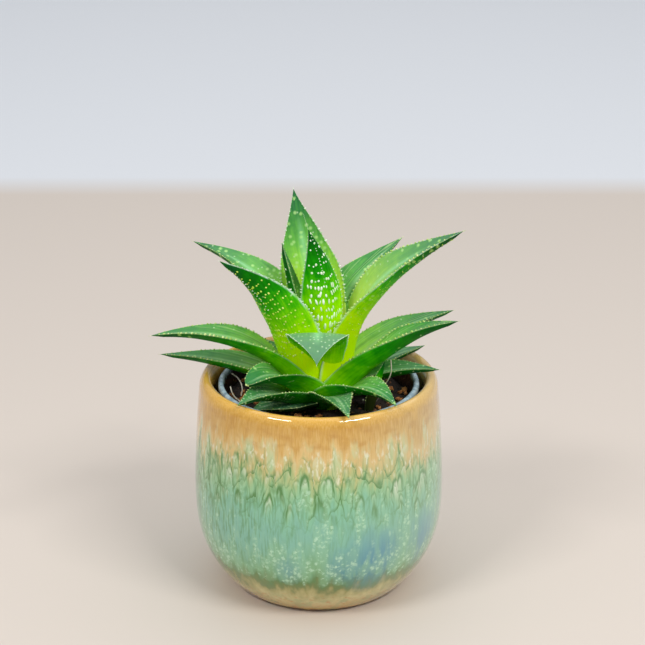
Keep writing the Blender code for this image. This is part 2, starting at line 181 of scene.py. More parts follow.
# %% [markdown]
# ## The cover pot's glaze
# The pot is thrown stoneware under a reactive glaze: two glazes are laid over each other and run together in
# the kiln. An iron-rich honey glaze stays at the lip, a copper green one runs below it in tongues with darker
# outlines, blue pools where it is thick, pale crystals grow in clusters, and it thins to tan at the foot.
# All of it follows the height on the pot and streaks that change fast round it and slowly down it, so the
# shader reads Object coordinates and stretches its noise along Z.

# %% Glaze colours
# Colours by height on the pot, in mm
GLAZE_TOP = 66.2
GLAZE_BY_HEIGHT = (
    (0.0, "A67C42"), (1.0, "D2AE66"), (6.0, "D2C88A"), (9.0, "B0A866"), (11.5, "748443"), (14.0, "5F8546"),
    (17.0, "74A878"), (22.0, "7FB592"), (29.0, "80B9A2"), (38.0, "84BF9A"), (44.0, "92C08A"),
    (48.0, "B7BC7A"), (51.0, "D2BC7C"), (55.0, "DCBB78"), (59.0, "D2A757"), (63.5, "CB9A40"),
    (66.2, "E0AE4A"),
)
# Where the glaze pooled thick and turned blue: x, y, z and reach in mm
BLUE_POOLS = (
    (14.5, -32.9, 20.5, 10.5), (19.0, -30.2, 22.5, 7.0), (30.0, -20.0, 22.5, 9.0), (6.0, -35.0, 20.5, 6.0),
    (-8.6, -34.0, 19.0, 5.0), (-30.0, 21.0, 23.0, 9.0), (12.0, 34.0, 24.0, 10.0),
)
POOL_SQUEEZE = 0.8
# Tongues of glaze: width and length in mm, and strength
TONGUE_SIZES = ((3.9, 13.0, 1.0), (2.3, 7.0, 0.5))
# How strong the tongues' outlines, their fills and the crystals are, by share of the height
TONGUE_LINES = ((0.42, "000000"), (0.52, "A0A0A0"), (0.63, "FFFFFF"), (0.74, "E0E0E0"), (0.82, "000000"))
TONGUE_FILLS = ((0.54, "000000"), (0.66, "FFFFFF"), (0.8, "E4E4E4"), (0.89, "000000"))
CRYSTALS_GROWN = (
    (0.19, "000000"), (0.26, "FFFFFF"), (0.34, "C8C8C8"), (0.42, "8C8C8C"), (0.64, "808080"),
    (0.74, "000000"),
)
print("glaze bands:", len(GLAZE_BY_HEIGHT), "blue pools:", len(BLUE_POOLS))


# %% Streaks and tongues
def stretched(tree, place, across, down):
    """Noise that changes over one length round the pot and over another down it, both in mm."""
    scaled = add(tree, "VectorMath", {0: place, 1: (1 / across, 1 / across, 1 / down)}, operation="MULTIPLY")
    return add(tree, "TexNoise", {"Vector": scaled, "Scale": 1.0, "Detail": 2.0})


def glaze_tongues(tree, place, share, width, length):
    """Masks for the outlines, insides and pale crowns of tongues where one run of glaze laps over another.

    A tongue is a cell with a round top, whose sides meet in a Y below.
    """
    scaled = add(tree, "VectorMath", {0: place, 1: (1 / width, 1 / width, 1 / length)}, operation="MULTIPLY")
    bend = add(tree, "TexNoise", {"Vector": scaled, "Scale": 1.3, "Detail": 2.0}, out="Color")
    scaled = add(tree, "VectorMath", {0: bend, 1: (0.5, 0.5, 0.6), 2: scaled}, operation="MULTIPLY_ADD")
    cells = add(tree, "TexVoronoi", {"Vector": scaled, "Scale": 1.0}).node
    border = add(tree, "TexVoronoi", {"Vector": scaled, "Scale": 1.0}, feature="DISTANCE_TO_EDGE")
    offset = add(tree, "VectorMath", {0: scaled, 1: cells.outputs["Position"]}, operation="SUBTRACT")
    rise = add(tree, "SeparateXYZ", {0: offset}, out="Z")
    away = add(tree, "VectorMath", {0: offset}, out="Value", operation="LENGTH")
    chance = add(tree, "SeparateColor", {0: cells.outputs["Color"]})
    reach = add(tree, "MapRange", {"Value": chance, "To Min": 0.3, "To Max": 0.54})
    gap = add(tree, "Math", {0: away, 1: reach}, operation="SUBTRACT")
    ring = add(tree, "Math", {0: gap}, operation="ABSOLUTE")
    inside = mask(tree, (gap, 0.0, -0.12))
    arch = mask(tree, (ring, 0.1, 0.02), (rise, -0.1, 0.12))
    legs = mask(tree, (border, 0.1, 0.02), (rise, 0.12, -0.1))
    line = add(tree, "Math", {0: arch, 1: legs}, operation="MAXIMUM")
    lines = add(tree, "ValToRGB", {0: share}, stops=TONGUE_LINES)
    fills = add(tree, "ValToRGB", {0: share}, stops=TONGUE_FILLS)
    crown = mask(tree, inside, (rise, 0.06, 0.34), fills)
    return mask(tree, line, lines), mask(tree, inside, fills), crown


# %% Running bands
def glaze_level(tree, place, height, side):
    """The height in mm as the running glaze carries it, and how strongly it ran.

    Streaks pull the bands down or leave them high, but hardly move them near the lip and the foot.
    """
    streak = stretched(tree, place, 2.9, 15.0)
    sway = add(tree, "Math", {0: streak, 1: 22.0, 2: -13.0}, operation="MULTIPLY_ADD")
    sway = add(tree, "Math", {0: stretched(tree, place, 0.9, 5.0), 1: 3.0, 2: sway}, operation="MULTIPLY_ADD")
    loose = mask(tree, (height, 65.0, 58.0), (height, -6.0, 26.0))
    level = add(tree, "Math", {0: sway, 1: loose, 2: height}, operation="MULTIPLY_ADD")
    # The honey band hangs lower at the sides than in the middle of the front
    lean = add(tree, "Math", {0: side}, operation="ABSOLUTE")
    lean = mask(tree, (lean, 20.0, 37.0), 2.5)
    level = add(tree, "Math", {0: level, 1: lean}, operation="ADD")
    return level, mask(tree, streak, loose)


def streaked(tree, colour, place, height, side, level):
    """Fine streaks and broad amber blotches in the honey band, darker and paler green strokes below it."""
    hair = stretched(tree, place, 0.35, 6.0)
    honey = mask(tree, (level, 51.0, 57.0))
    blotch = stretched(tree, place, 4.0, 3.0)
    stroke = stretched(tree, place, 0.6, 5.0)
    green = mask(tree, (level, 14.0, 24.0), (level, 53.0, 48.0))
    leftward = {"Value": side, "From Min": -32.0, "From Max": -5.0, "To Min": 0.72, "To Max": 0.18}
    leftward = add(tree, "MapRange", leftward)
    return layered(
        tree,
        colour,
        ("B07C2C", (hair, 0.5, 0.72), honey, 0.36),
        ("E4C586", (hair, 0.5, 0.32), honey, 0.32),
        ("B0771F", (blotch, 0.5, 0.68), (height, 54.0, 58.0), (height, 65.5, 62.0), 0.4),
        ("54874A", (stroke, 0.51, 0.61), green, leftward),
        ("A9CDA6", (stroke, 0.44, 0.3), green, leftward, 0.5),
    )


# %% Crystals
def glaze_crystals(tree, place, height):
    """Masks for clusters of soft pale froth, which trail down the pot, and for the crystals in them."""
    drift = add(tree, "TexNoise", {"Vector": place, "Scale": 1.1, "Detail": 1.0}, out="Color")
    drift = add(tree, "VectorMath", {0: drift, 1: (1.3, 1.3, 1.3), 2: place}, operation="MULTIPLY_ADD")
    cell = add(tree, "TexVoronoi", {"Vector": drift, "Scale": 0.85}).node
    chance = add(tree, "SeparateColor", {0: cell.outputs["Color"]})
    size = add(tree, "MapRange", {"Value": chance, "To Min": -0.45, "To Max": 0.3})
    speck = add(tree, "Math", {0: cell.outputs["Distance"], 1: size}, operation="SUBTRACT")
    froth = add(tree, "TexNoise", {"Vector": place, "Scale": 2.6, "Detail": 2.0})
    speck = add(tree, "Math", {0: froth, 1: speck}, operation="ADD")
    grown = add(tree, "Math", {0: height, 1: GLAZE_TOP}, operation="DIVIDE")
    grown = add(tree, "ValToRGB", {0: grown}, stops=CRYSTALS_GROWN)
    trail = stretched(tree, place, 3.2, 15.0)
    cluster = add(tree, "Math", {0: grown, 1: 0.2, 2: trail}, operation="MULTIPLY_ADD")
    cluster = mask(tree, (cluster, 0.54, 0.66), (grown, 0.0, 0.2))
    return cluster, mask(tree, (speck, 1.05, 0.55), cluster, 0.72)


# %% Reactive glaze
def reactive_glaze():
    """Glossy fired glass over stoneware: a hard clear skin, sharp highlights and soft colour in its depth."""
    material, tree, shader = new_material("reactive_glaze_stoneware")
    place = add(tree, "TexCoord", out="Object")
    place = add(tree, "VectorMath", {0: place, 1: (1 / MM, 1 / MM, 1 / MM)}, operation="MULTIPLY")
    height = add(tree, "SeparateXYZ", {0: place}, out="Z")
    side = add(tree, "SeparateXYZ", {0: place}, out="X")
    level, run = glaze_level(tree, place, height, side)
    share = add(tree, "Math", {0: level, 1: GLAZE_TOP}, operation="DIVIDE")
    stops = [(height_mm / GLAZE_TOP, code) for height_mm, code in GLAZE_BY_HEIGHT]
    colour = add(tree, "ValToRGB", {0: share}, stops=stops)
    colour = streaked(tree, colour, place, height, side, level)

    # Tongues in two sizes: pale green inside, nearly white at the top, with a dark green outline
    for width, length, strength in TONGUE_SIZES:
        line, inside, crown = glaze_tongues(tree, place, share, width, length)
        colour = layered(
            tree,
            colour,
            ("A6CC9A", inside, 0.6 * strength),
            ("D6D6A4", inside, 0.6 * strength, (level, 45.0, 54.0), 0.55),
            ("E2E8D0", crown, 0.72 * strength),
            ("4F8440", line, strength),
        )

    # Pale flecks where the two glazes meet
    fleck = mask(tree, (stretched(tree, place, 0.9, 2.4), 0.56, 0.68), 0.55)
    colour = layered(tree, colour, ("ECEFD6", fleck, (level, 46.0, 50.0), (level, 58.0, 53.0)))

    # Blue pools, smooth and faintly streaked
    pool_streak = mask(tree, (stretched(tree, place, 1.6, 14.0), 0.16, 0.5), 0.85)
    squeezed = add(tree, "VectorMath", {0: place, 1: (1.0, 1.0, POOL_SQUEEZE)}, operation="MULTIPLY")
    for x, y, z, reach in BLUE_POOLS:
        centre = (x, y, POOL_SQUEEZE * z)
        away = add(tree, "VectorMath", {0: squeezed, 1: centre}, out="Value", operation="DISTANCE")
        colour = layered(tree, colour, ("5292A6", (away, reach, 0.2 * reach), pool_streak))

    # Green smears and iron spots near the foot, and painted light: the glaze is made paler towards the right
    # side, where more light falls
    low = mask(tree, (height, 10.0, 6.0))
    colour = layered(
        tree,
        colour,
        ("9CA86A", (stretched(tree, place, 3.4, 2.6), 0.48, 0.62), low, 0.5),
        ("C4803A", (stretched(tree, place, 1.8, 1.2), 0.56, 0.68), low, 0.55),
        ("CFE3D2", (side, 8.0, 40.0), 0.22),
    )

    cluster, speck = glaze_crystals(tree, place, height)
    colour = layered(tree, colour, ("9CCB9A", cluster, 0.3), ("BEE4C4", speck))

    relief = add(tree, "Math", {0: speck, 1: 0.6, 2: run}, operation="MULTIPLY_ADD")
    bump = add(tree, "Bump", {"Strength": 0.3, "Distance": 0.1 * MM, "Height": relief}, out="Normal")
    gloss = add(tree, "MapRange", {"Value": speck, "To Min": 0.05, "To Max": 0.22})
    surface = {"Base Color": colour, "Roughness": gloss, "Normal": bump, "IOR": 1.52}
    connect(tree, shader, surface | {"Coat Weight": 0.6, "Coat Roughness": 0.02})
    return material


# %% [markdown]
# ## The cover pot
# The pot is widest at its belly and closes a little towards a thick rounded lip. The profile has the same
# sizes as the solid, with many more points and sides, so the outline is smooth from any side.

# %% Cover pot
POT_HEIGHT = 66.2 * MM
POT_FOOT_RADIUS = 25.2 * MM
POT_FOOT_ROUNDING = 0.5 * MM
POT_BELLY_RADIUS = 37.5 * MM
POT_BELLY_HEIGHT = 33.0 * MM
POT_BELLY_FULLNESS = 2.9
POT_NECK_RADIUS = 35.7 * MM
POT_NECK_HEIGHT = 62.2 * MM
POT_NECK_BEND = 1.4
POT_WALL = 4.4 * MM
POT_FLOOR = 6.5 * MM
POT_SIDES = 144
POT_RINGS = 40
RINGS_TO_FOOT = 1.3  # above 1 the rings stand closer near the foot
LIP_STEPS = 16
THROWN_WOBBLE = 0.003
WOBBLES_PER_METRE = 45.0


def pot_radius(height):
    """Outer radius of the cover pot between its foot and its neck."""
    if height <= POT_BELLY_HEIGHT:
        below = 1.0 - (1.0 - height / POT_BELLY_HEIGHT) ** POT_BELLY_FULLNESS
        return POT_FOOT_RADIUS + (POT_BELLY_RADIUS - POT_FOOT_RADIUS) * below
    above = (height - POT_BELLY_HEIGHT) / (POT_NECK_HEIGHT - POT_BELLY_HEIGHT)
    return POT_BELLY_RADIUS - (POT_BELLY_RADIUS - POT_NECK_RADIUS) * above**POT_NECK_BEND


# %% Turn the cover pot
def make_cover_pot():
    heights = [POT_NECK_HEIGHT * (ring / POT_RINGS) ** RINGS_TO_FOOT for ring in range(POT_RINGS + 1)]
    outside = [(pot_radius(height), height) for height in heights]
    outside[0] = (POT_FOOT_RADIUS - POT_FOOT_ROUNDING, 0.0)
    lip_centre = POT_NECK_RADIUS - POT_WALL / 2
    lip_rise = POT_HEIGHT - POT_NECK_HEIGHT
    lip = [
        (lip_centre + POT_WALL / 2 * math.cos(turn), POT_NECK_HEIGHT + lip_rise * math.sin(turn))
        for turn in arc(LIP_STEPS)[1:-1]
    ]
    inside = [(pot_radius(height) - POT_WALL, height) for height in heights[::-1] if height > 1.2 * POT_FLOOR]
    floor = [(pot_radius(POT_FLOOR) - 1.4 * POT_WALL, POT_FLOOR), (0.0, POT_FLOOR)]
    bm = spin_profile([(0.0, 0.0)] + outside + lip + inside + floor, POT_SIDES)
    # A hand-thrown wall is never quite true, but the foot is ground flat
    for vertex in bm.verts:
        if vertex.co.z > 0.2 * MM:
            vertex.co.xy *= 1.0 + THROWN_WOBBLE * noise.noise(vertex.co * WOBBLES_PER_METRE)
    return make_piece("cover_pot_glazed", bm, [reactive_glaze()], "cover_pot")


cover_pot = make_cover_pot()
print("cover pot:", round(2 * POT_BELLY_RADIUS / MM), "mm across, faces:", len(cover_pot.data.polygons))

# %% [markdown]
# ## The nursery pot
# The plant is sold in a thin injection-moulded polypropylene pot. Only its rim shows, grey-blue and a little
# glossy. Polypropylene scuffs easily, so its roughness varies.

# %% Nursery pot's sizes
LINER_RIM_RADIUS = 30.0 * MM
LINER_RIM_TOP = 64.1 * MM
LINER_RIM_DEPTH = 2.2 * MM
LINER_RIM_WIDTH = 1.7 * MM
LINER_WALL = 1.0 * MM
LINER_BASE_RADIUS = 21.0 * MM
LINER_FOOT = POT_FLOOR + 0.3 * MM
LINER_SIDES = 120
RIM_STEPS = 8
SCUFF_SIZE = 2.5 * MM
print("nursery pot's foot stands at", round(LINER_FOOT / MM, 1), "mm")


# %% Moulded plastic
def moulded_polypropylene():
    """Injection-moulded plastic: even colour, a soft shine, faint scuffs."""
    material, tree, shader = new_material("moulded_polypropylene")
    place = add(tree, "TexCoord", out="Object")
    scuff = add(tree, "TexNoise", {"Vector": place, "Scale": 1 / SCUFF_SIZE, "Detail": 4.0})
    colour = add(tree, "ValToRGB", {0: scuff}, stops=((0.35, "819BAA"), (0.65, "B6CBD5")))
    # Painted shade: the inside of the wall, from just under the rim down, is painted nearly black
    reach = add(tree, "VectorMath", {0: place, 1: (1.0, 1.0, 0.0)}, operation="MULTIPLY")
    reach = add(tree, "VectorMath", {0: reach}, out="Value", operation="LENGTH")
    height = add(tree, "SeparateXYZ", {0: place}, out="Z")
    shade_edge = add(tree, "Math", {0: scuff, 1: 2.4 * MM, 2: height}, operation="MULTIPLY_ADD")
    shaded_inside = add(tree, "Math", {0: reach, 1: LINER_RIM_RADIUS - 1.45 * MM}, operation="LESS_THAN")
    colour = layered(tree, colour, ("221812", (shade_edge, 64.6 * MM, 63.6 * MM), shaded_inside))
    rough = add(tree, "MapRange", {"Value": scuff, "To Min": 0.15, "To Max": 0.4})
    bump = add(tree, "Bump", {"Strength": 0.15, "Distance": 0.05 * MM, "Height": scuff}, out="Normal")
    connect(tree, shader, {"Base Color": colour, "Roughness": rough, "Normal": bump, "IOR": 1.49})
    return material


# %% Nursery pot
def liner_inside(height):
    """Inner radius of the nursery pot at a height."""
    top = LINER_RIM_RADIUS - LINER_RIM_WIDTH
    base = LINER_BASE_RADIUS - LINER_WALL
    return base + (top - base) * (height - LINER_FOOT) / (LINER_RIM_TOP - LINER_FOOT)


def make_nursery_pot():
    rim_foot = LINER_RIM_TOP - LINER_RIM_DEPTH
    floor = LINER_FOOT + LINER_WALL
    half = LINER_RIM_WIDTH / 2
    crest = [
        (LINER_RIM_RADIUS - half + half * math.cos(turn), LINER_RIM_TOP - half + half * math.sin(turn))
        for turn in arc(RIM_STEPS)
    ]
    profile = [
        (0.0, LINER_FOOT),
        (LINER_BASE_RADIUS, LINER_FOOT),
        (liner_inside(rim_foot) + LINER_WALL, rim_foot),
        (LINER_RIM_RADIUS, rim_foot),
        *crest,
        (liner_inside(floor), floor),
        (0.0, floor),
    ]
    bm = spin_profile(profile, LINER_SIDES)
    plastic = moulded_polypropylene()
    return make_piece("nursery_pot_moulded", bm, [plastic], "nursery_pot")


nursery_pot = make_nursery_pot()
print("nursery pot:", round(2 * LINER_RIM_RADIUS / MM), "mm across, faces:", len(nursery_pot.data.polygons))

# %% [markdown]
# ## The potting mix
# The mix is peat, nearly black when moist, with crumbs, orange-brown splinters of bark and a few white grains
# of pumice. A spun disc with an uneven top carries several hundred crumbs. Each crumb is a rough little
# icosphere and each splinter a broken block, all in one piece with a material for each kind.

# %% Potting mix
SOIL_TOP = 58.2 * MM
SOIL_ROUGHNESS = 0.45 * MM
SOIL_REACH = 26.4 * MM
SOIL_RINGS = 26
SOIL_SIDES = 110
STEM_RADIUS = 4.6 * MM
CRUMB_COUNT = 620
CHIP_COUNT = 90
GRAIN_COUNT = 16
# Each kind's own material: name, its two tones, grain size and roughness
SOIL_FINISHES = (
    ("moist_peat", "120D0A", "3A2A1F", 0.8 * MM, 0.85),
    ("peat_fibre", "4A2F1C", "946540", 0.6 * MM, 0.9),
    ("pine_bark", "8E4A1C", "E8A45C", 0.7 * MM, 0.8),
    ("pumice_grain", "B9AE9E", "E3DCCE", 0.4 * MM, 0.9),
)
PEAT, FIBRE, BARK, PUMICE = range(4)
# Splinters that show in the gaps between the leaves, in mm
SEEN_CHIPS = (
    (20.5, -3.0), (22.8, -6.5), (23.5, -12.5), (21.0, -10.5), (12.0, -22.5), (16.0, -19.5), (19.0, -16.5),
    (24.5, -9.0), (22.0, -14.5), (14.5, -21.0), (9.5, -24.0), (17.5, -14.0), (24.0, -2.0), (-19.5, -15.5),
    (-22.5, -6.0), (-24.0, -3.5), (-21.5, -1.5), (-23.0, 2.0), (-5.0, -26.0), (-1.5, -26.2),
)


def soil_height(x, y):
    """Uneven surface of the soil: three crossed ripples."""
    broad = math.sin(310 * x + 1.0) * math.cos(270 * y)
    oblique = 0.7 * math.sin(520 * y + 260 * x)
    fine = 0.5 * math.cos(700 * x)
    return SOIL_TOP + SOIL_ROUGHNESS * (broad + oblique + fine)


def grainy(name, dark, light, size, roughness):
    """A dull, grainy earth finish in two tones."""
    material, tree, shader = new_material(name)
    place = add(tree, "TexCoord", out="Object")
    grain = add(tree, "TexNoise", {"Vector": place, "Scale": 1 / size, "Detail": 5.0, "Roughness": 0.7})
    colour = add(tree, "ValToRGB", {0: grain}, stops=((0.35, dark), (0.68, light)))
    bump = add(tree, "Bump", {"Strength": 0.8, "Distance": 0.25 * MM, "Height": grain}, out="Normal")
    connect(tree, shader, {"Base Color": colour, "Roughness": roughness, "Normal": bump})
    return material


# %% Crumbs and splinters
def jitter(draw, lengthwise=1.0):
    """A random push, up to 1 in each direction."""
    return Vector((draw.uniform(-lengthwise, lengthwise), draw.uniform(-1, 1), draw.uniform(-1, 1)))


def add_crumb(bm, centre, size, slot, draw):
    """A rough little lump: an icosphere pushed about and turned at random."""
    squash = Matrix.Diagonal((draw.uniform(0.7, 1.3), draw.uniform(0.7, 1.1), draw.uniform(0.5, 0.9), 1.0))
    turn = Matrix.Rotation(draw.uniform(0, math.tau), 4, (draw.random(), draw.random(), 1.0))
    made = bmesh.ops.create_icosphere(
        bm, subdivisions=1, radius=size, matrix=Matrix.Translation(centre) @ turn @ squash
    )
    for vertex in made["verts"]:
        vertex.co += size * 0.35 * jitter(draw)
    paint(made["verts"], slot)


def add_splinter(bm, centre, draw):
    """A flat splinter of bark: a block with its ends broken off at a slant."""
    length, width, depth = (draw.uniform(*span) * MM for span in ((1.4, 3.6), (0.7, 1.6), (0.5, 1.0)))
    roll = Matrix.Rotation(draw.uniform(-0.35, 0.35), 4, "X")
    pitch = Matrix.Rotation(draw.uniform(-0.3, 0.3), 4, "Y")
    turn = Matrix.Rotation(draw.uniform(0, math.tau), 4, "Z") @ roll @ pitch
    before = len(bm.verts)
    block = Matrix.Diagonal((length, width, depth, 1.0))
    corners = bmesh.ops.create_cube(bm, size=1.0, matrix=block)["verts"]
    edges = list({edge for corner in corners for edge in corner.link_edges})
    bmesh.ops.subdivide_edges(bm, edges=edges, cuts=2, use_grid_fill=True)
    bm.verts.ensure_lookup_table()
    verts = bm.verts[before:]
    for vertex in verts:
        vertex.co += 0.2 * width * jitter(draw, 1.6)
    bmesh.ops.transform(bm, matrix=Matrix.Translation(centre) @ turn, verts=verts)
    paint(verts, BARK)


def scattered(draw, count):
    """Places on the soil round the stem, at an even density."""
    for _ in range(count):
        reach = math.sqrt(draw.uniform(STEM_RADIUS**2, SOIL_REACH**2))
        bearing = draw.uniform(0, math.tau)
        x, y = reach * math.cos(bearing), reach * math.sin(bearing)
        yield Vector((x, y, soil_height(x, y)))


# %% Fill the pot
def make_potting_mix():
    foot = LINER_FOOT + LINER_WALL + 0.3 * MM
    rim = liner_inside(SOIL_TOP) - 0.1 * MM
    top = [(rim * ring / SOIL_RINGS, SOIL_TOP) for ring in range(SOIL_RINGS + 1)]
    bm = spin_profile(top + [(liner_inside(foot) - 0.3 * MM, foot), (0.0, foot)], SOIL_SIDES)
    for vertex in bm.verts:
        if vertex.co.z > SOIL_TOP - 0.001 * MM:
            lumps = 0.5 * noise.noise(vertex.co * 900.0) + 0.35 * noise.noise(vertex.co * 2100.0)
            vertex.co.z = soil_height(vertex.co.x, vertex.co.y) + lumps * MM
    draw = random.Random(11)
    for centre in scattered(draw, CRUMB_COUNT):
        add_crumb(bm, centre, draw.uniform(0.25, 0.85) * MM, PEAT if draw.random() < 0.75 else FIBRE, draw)
    for x, y in SEEN_CHIPS:
        add_splinter(bm, Vector((x * MM, y * MM, soil_height(x * MM, y * MM) + 0.4 * MM)), draw)
    for centre in scattered(draw, CHIP_COUNT):
        add_splinter(bm, centre + Vector((0, 0, 0.25 * MM)), draw)
    for centre in scattered(draw, GRAIN_COUNT):
        add_crumb(bm, centre, draw.uniform(0.3, 0.6) * MM, PUMICE, draw)
    materials = [grainy(*finish) for finish in SOIL_FINISHES]
    return make_piece("potting_soil_surface", bm, materials, "potting_soil")


potting_mix = make_potting_mix()
print("potting mix faces:", len(potting_mix.data.polygons))

# %% [markdown]
# ## The form of a leaf
# A leaf is a keeled blade on a bent spine. Its section is a crescent: a channelled upper face from margin to
# margin, and a keeled back. A flat grid is rolled up to make it: one way along the grid runs from root to
# tip, the other runs once round the section. The grid's own places are kept as a UV map in millimetres and
# as attributes, which the leaf's material reads.

# %% A leaf's sizes
CHANNEL = 0.15  # depth of the hollow upper face, as a share of the width
CLASP = 0.11  # how much deeper it is where the base clasps the stem
CLASP_TO = 0.35  # share of the length by which the clasp has faded
KEEL_ROUNDNESS = 1.8
EDGE = 0.62 * MM  # thickness at the margins
MARGIN_WAVER = 0.035
TURN_BY = 0.6  # share of the length by which the blade has turned to its last bearing
ROOT_HANDLE = 0.42
TIP_HANDLE = 0.38
BRISTLE_WIDTH = 0.4 * MM
NEARBY = 0.01  # share of the length over which a direction is taken


@dataclass
class Leaf:
    """A leaf's place, pose and look, in mm and degrees. Bearing 0 is +X, 90 is the back of the pot."""

    name: str
    facing: tuple  # bearing that the blade's back looks to, at its root and at its tip
    root: tuple  # distance from the stem's axis, and height; or x, y and z
    rise: float  # slope at which it leaves its root
    tip: tuple
    fall: float  # slope at the tip
    width: float
    youth: float  # 1 is a young inner leaf with a lime base, 0 an old dark one
    arch: float = 1.0
    hollow: float = 1.0
    widest: float = 0.62  # distance of the widest place from the tip, as a share of the length
    base: float = 0.95  # width at the root as a share of the widest
    sharp: float = 1.15  # above 1 the margins run straighter to the tip, below it they are rounder
    thick: float = 0.15  # depth of the keel as a share of the width
    bristle: float = 0.012  # share of the length that is the bare white tip
    teeth: float = 0.6  # size of the teeth, against the largest
    dots: float = 0.0  # size of the raised dots on its back, against the largest
    white_dots: bool = False  # white or cream
    white_teeth: bool = False
    spots: float = 0.1  # share of the upper face's broad cells that hold a pale spot
    specks: float = 0.04  # the same for its small cells
    bloom: float = 0.3  # grey wax on the upper face
    rim: float = 0.15  # paleness of the horny margin


# %% [markdown]
# Each leaf has its own row. The rows run from the young inner leaves to the old outer ones, and the small
# bright offset comes last. A value that a row leaves out is the one above.

# %% Where the leaves stand
LEAVES = (
    Leaf(
        "leaf_inner_back", (97, 97), (1.0, 71), 84, (-7.6, 15.0, 119.8), 70, 18.6, 1.2, teeth=1.0,
        white_teeth=True, spots=0.72, bloom=0.0,
    ),
    Leaf(
        "leaf_inner_front", (296, 296), (1.5, 69), 86, (-4.6, -3.0, 117.4), 72, 13.6, 1.15,
        bristle=0.1, teeth=0.8, dots=0.92, white_dots=True, white_teeth=True, spots=0.0, specks=0.0, rim=0.6,
    ),
    Leaf(
        "leaf_inner_left", (172, 172), (2.0, 70), 86, (-10.9, 1.0, 107.5), 72, 9.0, 0.4, dots=0.75,
        white_dots=True,
    ),
    Leaf(
        "leaf_upper_right", (344, 374), (2.4, 66), 85, (42.4, -9.0, 114.0), 23, 17.6, 1.35, arch=1.07,
        thick=0.19, teeth=1.0, dots=0.5, spots=0.5, bloom=0.6, rim=0.6,
    ),
    Leaf(
        "leaf_upper_left", (238, 246), (-3.4, -1.7, 64.0), 80, (-29.0, -14.0, 106.5), 24, 17.6, 1.15,
        teeth=1.0, dots=0.76, white_teeth=True, spots=0.0, rim=0.8,
    ),
    Leaf(
        "leaf_upper_back_left", (150, 140), (2.0, 66), 82, (-38.9, 22.4, 100.3), 2, 14.5, 0.8, arch=1.12,
        spots=0.6, specks=0.08, bloom=0.35,
    ),
    Leaf(
        "leaf_upper_back_right", (54, 60), (2.5, 66), 86, (26.1, 24.3, 101.3), 16, 14.5, 0.4, arch=1.18,
        bloom=0.1,
    ),
    Leaf(
        "leaf_upper_front", (268, 268), (4.2, 63), 85, (-0.5, -28.5, 79.4), -45, 18.0, 0.8, arch=1.54,
        hollow=-0.2, widest=0.42, base=0.6, sharp=1.25, teeth=0.45, white_teeth=True, spots=0.0, specks=0.4,
        bloom=1.0, rim=0.7,
    ),
    Leaf(
        "leaf_middle_left", (210, 180), (3.2, 62), 64, (-50.2, -4.5, 79.6), -14, 13.8, 0.6, arch=1.06,
        teeth=0.95, spots=0.05, bloom=0.2,
    ),
    Leaf(
        "leaf_middle_right", (318, 344), (3.2, 61), 55, (41.0, -15.0, 88.4), 8, 14.5, 0.6, arch=1.04,
        thick=0.2, teeth=0.95, spots=0.05, bloom=0.1,
    ),
    Leaf(
        "leaf_middle_back_right", (30, 30), (2.5, 62), 46, (41.7, 16.9, 80.0), 0, 12.5, 0.6, teeth=0.8,
        spots=0.04,
    ),
    Leaf("leaf_middle_back_left", (122, 116), (2.5, 63), 62, (-17.0, 36.0, 77.0), -8, 12.5, 0.5),
    Leaf("leaf_middle_back", (74, 74), (2.5, 62), 62, (11.5, 39.0, 76.0), -8, 12.5, 0.4),
    Leaf(
        "leaf_lower_left", (178, 162), (2.5, 60), 38, (-48.5, 6.8, 69.5), -6, 11.5, 0.55, teeth=0.8,
        spots=0.04,
    ),
    Leaf(
        "leaf_middle_front_left", (244, 222), (4.0, 61), 56, (-21.0, -21.5, 71.0), -34, 14.0, 0.62, arch=1.1,
        sharp=0.55, bloom=0.1,
    ),
    Leaf(
        "leaf_lower_front_right", (292, 306), (4.0, 59.5), 48, (22.6, -30.0, 67.5), -36, 13.0, 0.5, arch=1.05,
        specks=0.2, bloom=0.1,
    ),
    Leaf("leaf_lower_right", (350, 355), (2.5, 60), 44, (36.3, -5.1, 69.2), -10, 11.5, 0.1, specks=0.2),
    Leaf("leaf_lower_back_right", (30, 30), (2.5, 60), 34, (33.0, 17.8, 68.2), 0, 11.0, 0.1, bloom=0.8),
    Leaf("leaf_lower_back", (94, 94), (2.5, 60), 38, (-2.6, 38.0, 68.5), -6, 11.5, 0.2),
    Leaf("leaf_lower_back_left", (138, 136), (2.5, 60), 38, (-26.0, 24.0, 69.0), -6, 11.0, 0.2),
    Leaf(
        "leaf_lower_front_left", (236, 232), (3.0, 59), 38, (-23.5, -29.0, 67.6), -16, 13.0, 0.25,
        specks=0.5, bloom=0.2,
    ),
    Leaf(
        "leaf_lower_front", (280, 284), (3.0, 59.0), 38, (8.8, -37.6, 67.2), -18, 11.5, 0.1, arch=1.05,
        specks=0.6, bloom=0.5,
    ),
    Leaf(
        "leaf_lowest_front_left", (250, 232), (3.0, 60.5), 14, (-20.0, -17.0, 61.0), -12, 14.0, -0.8,
        hollow=0.4, specks=0.55,
    ),
    Leaf("leaf_lowest_back_right", (60, 56), (2.5, 58.0), 26, (17.0, 24.0, 67.0), -2, 9.5, 0.1),
    Leaf(
        "leaf_offset", (322, 322), (14.4, -8.0, 55.0), 86, (19.5, -12.0, 75.2), 60, 4.6, 3.0, arch=0.9,
        base=0.25, specks=0.0,
    ),
)
print("leaves:", len(LEAVES))


# %% [markdown]
# ## Spine and skin
# A leaf leaves its root at one slope, bows out and ends at another, which is what a cubic curve with two
# handles does. At each place along it the blade has three axes of its own: forward, across and up. The skin
# is set out on them, wide or narrow by the leaf's outline and deep by its keel.


# %% Spine
def direction(bearing, slope):
    bearing, slope = math.radians(bearing), math.radians(slope)
    flat = math.cos(slope)
    return Vector((flat * math.cos(bearing), flat * math.sin(bearing), math.sin(slope)))


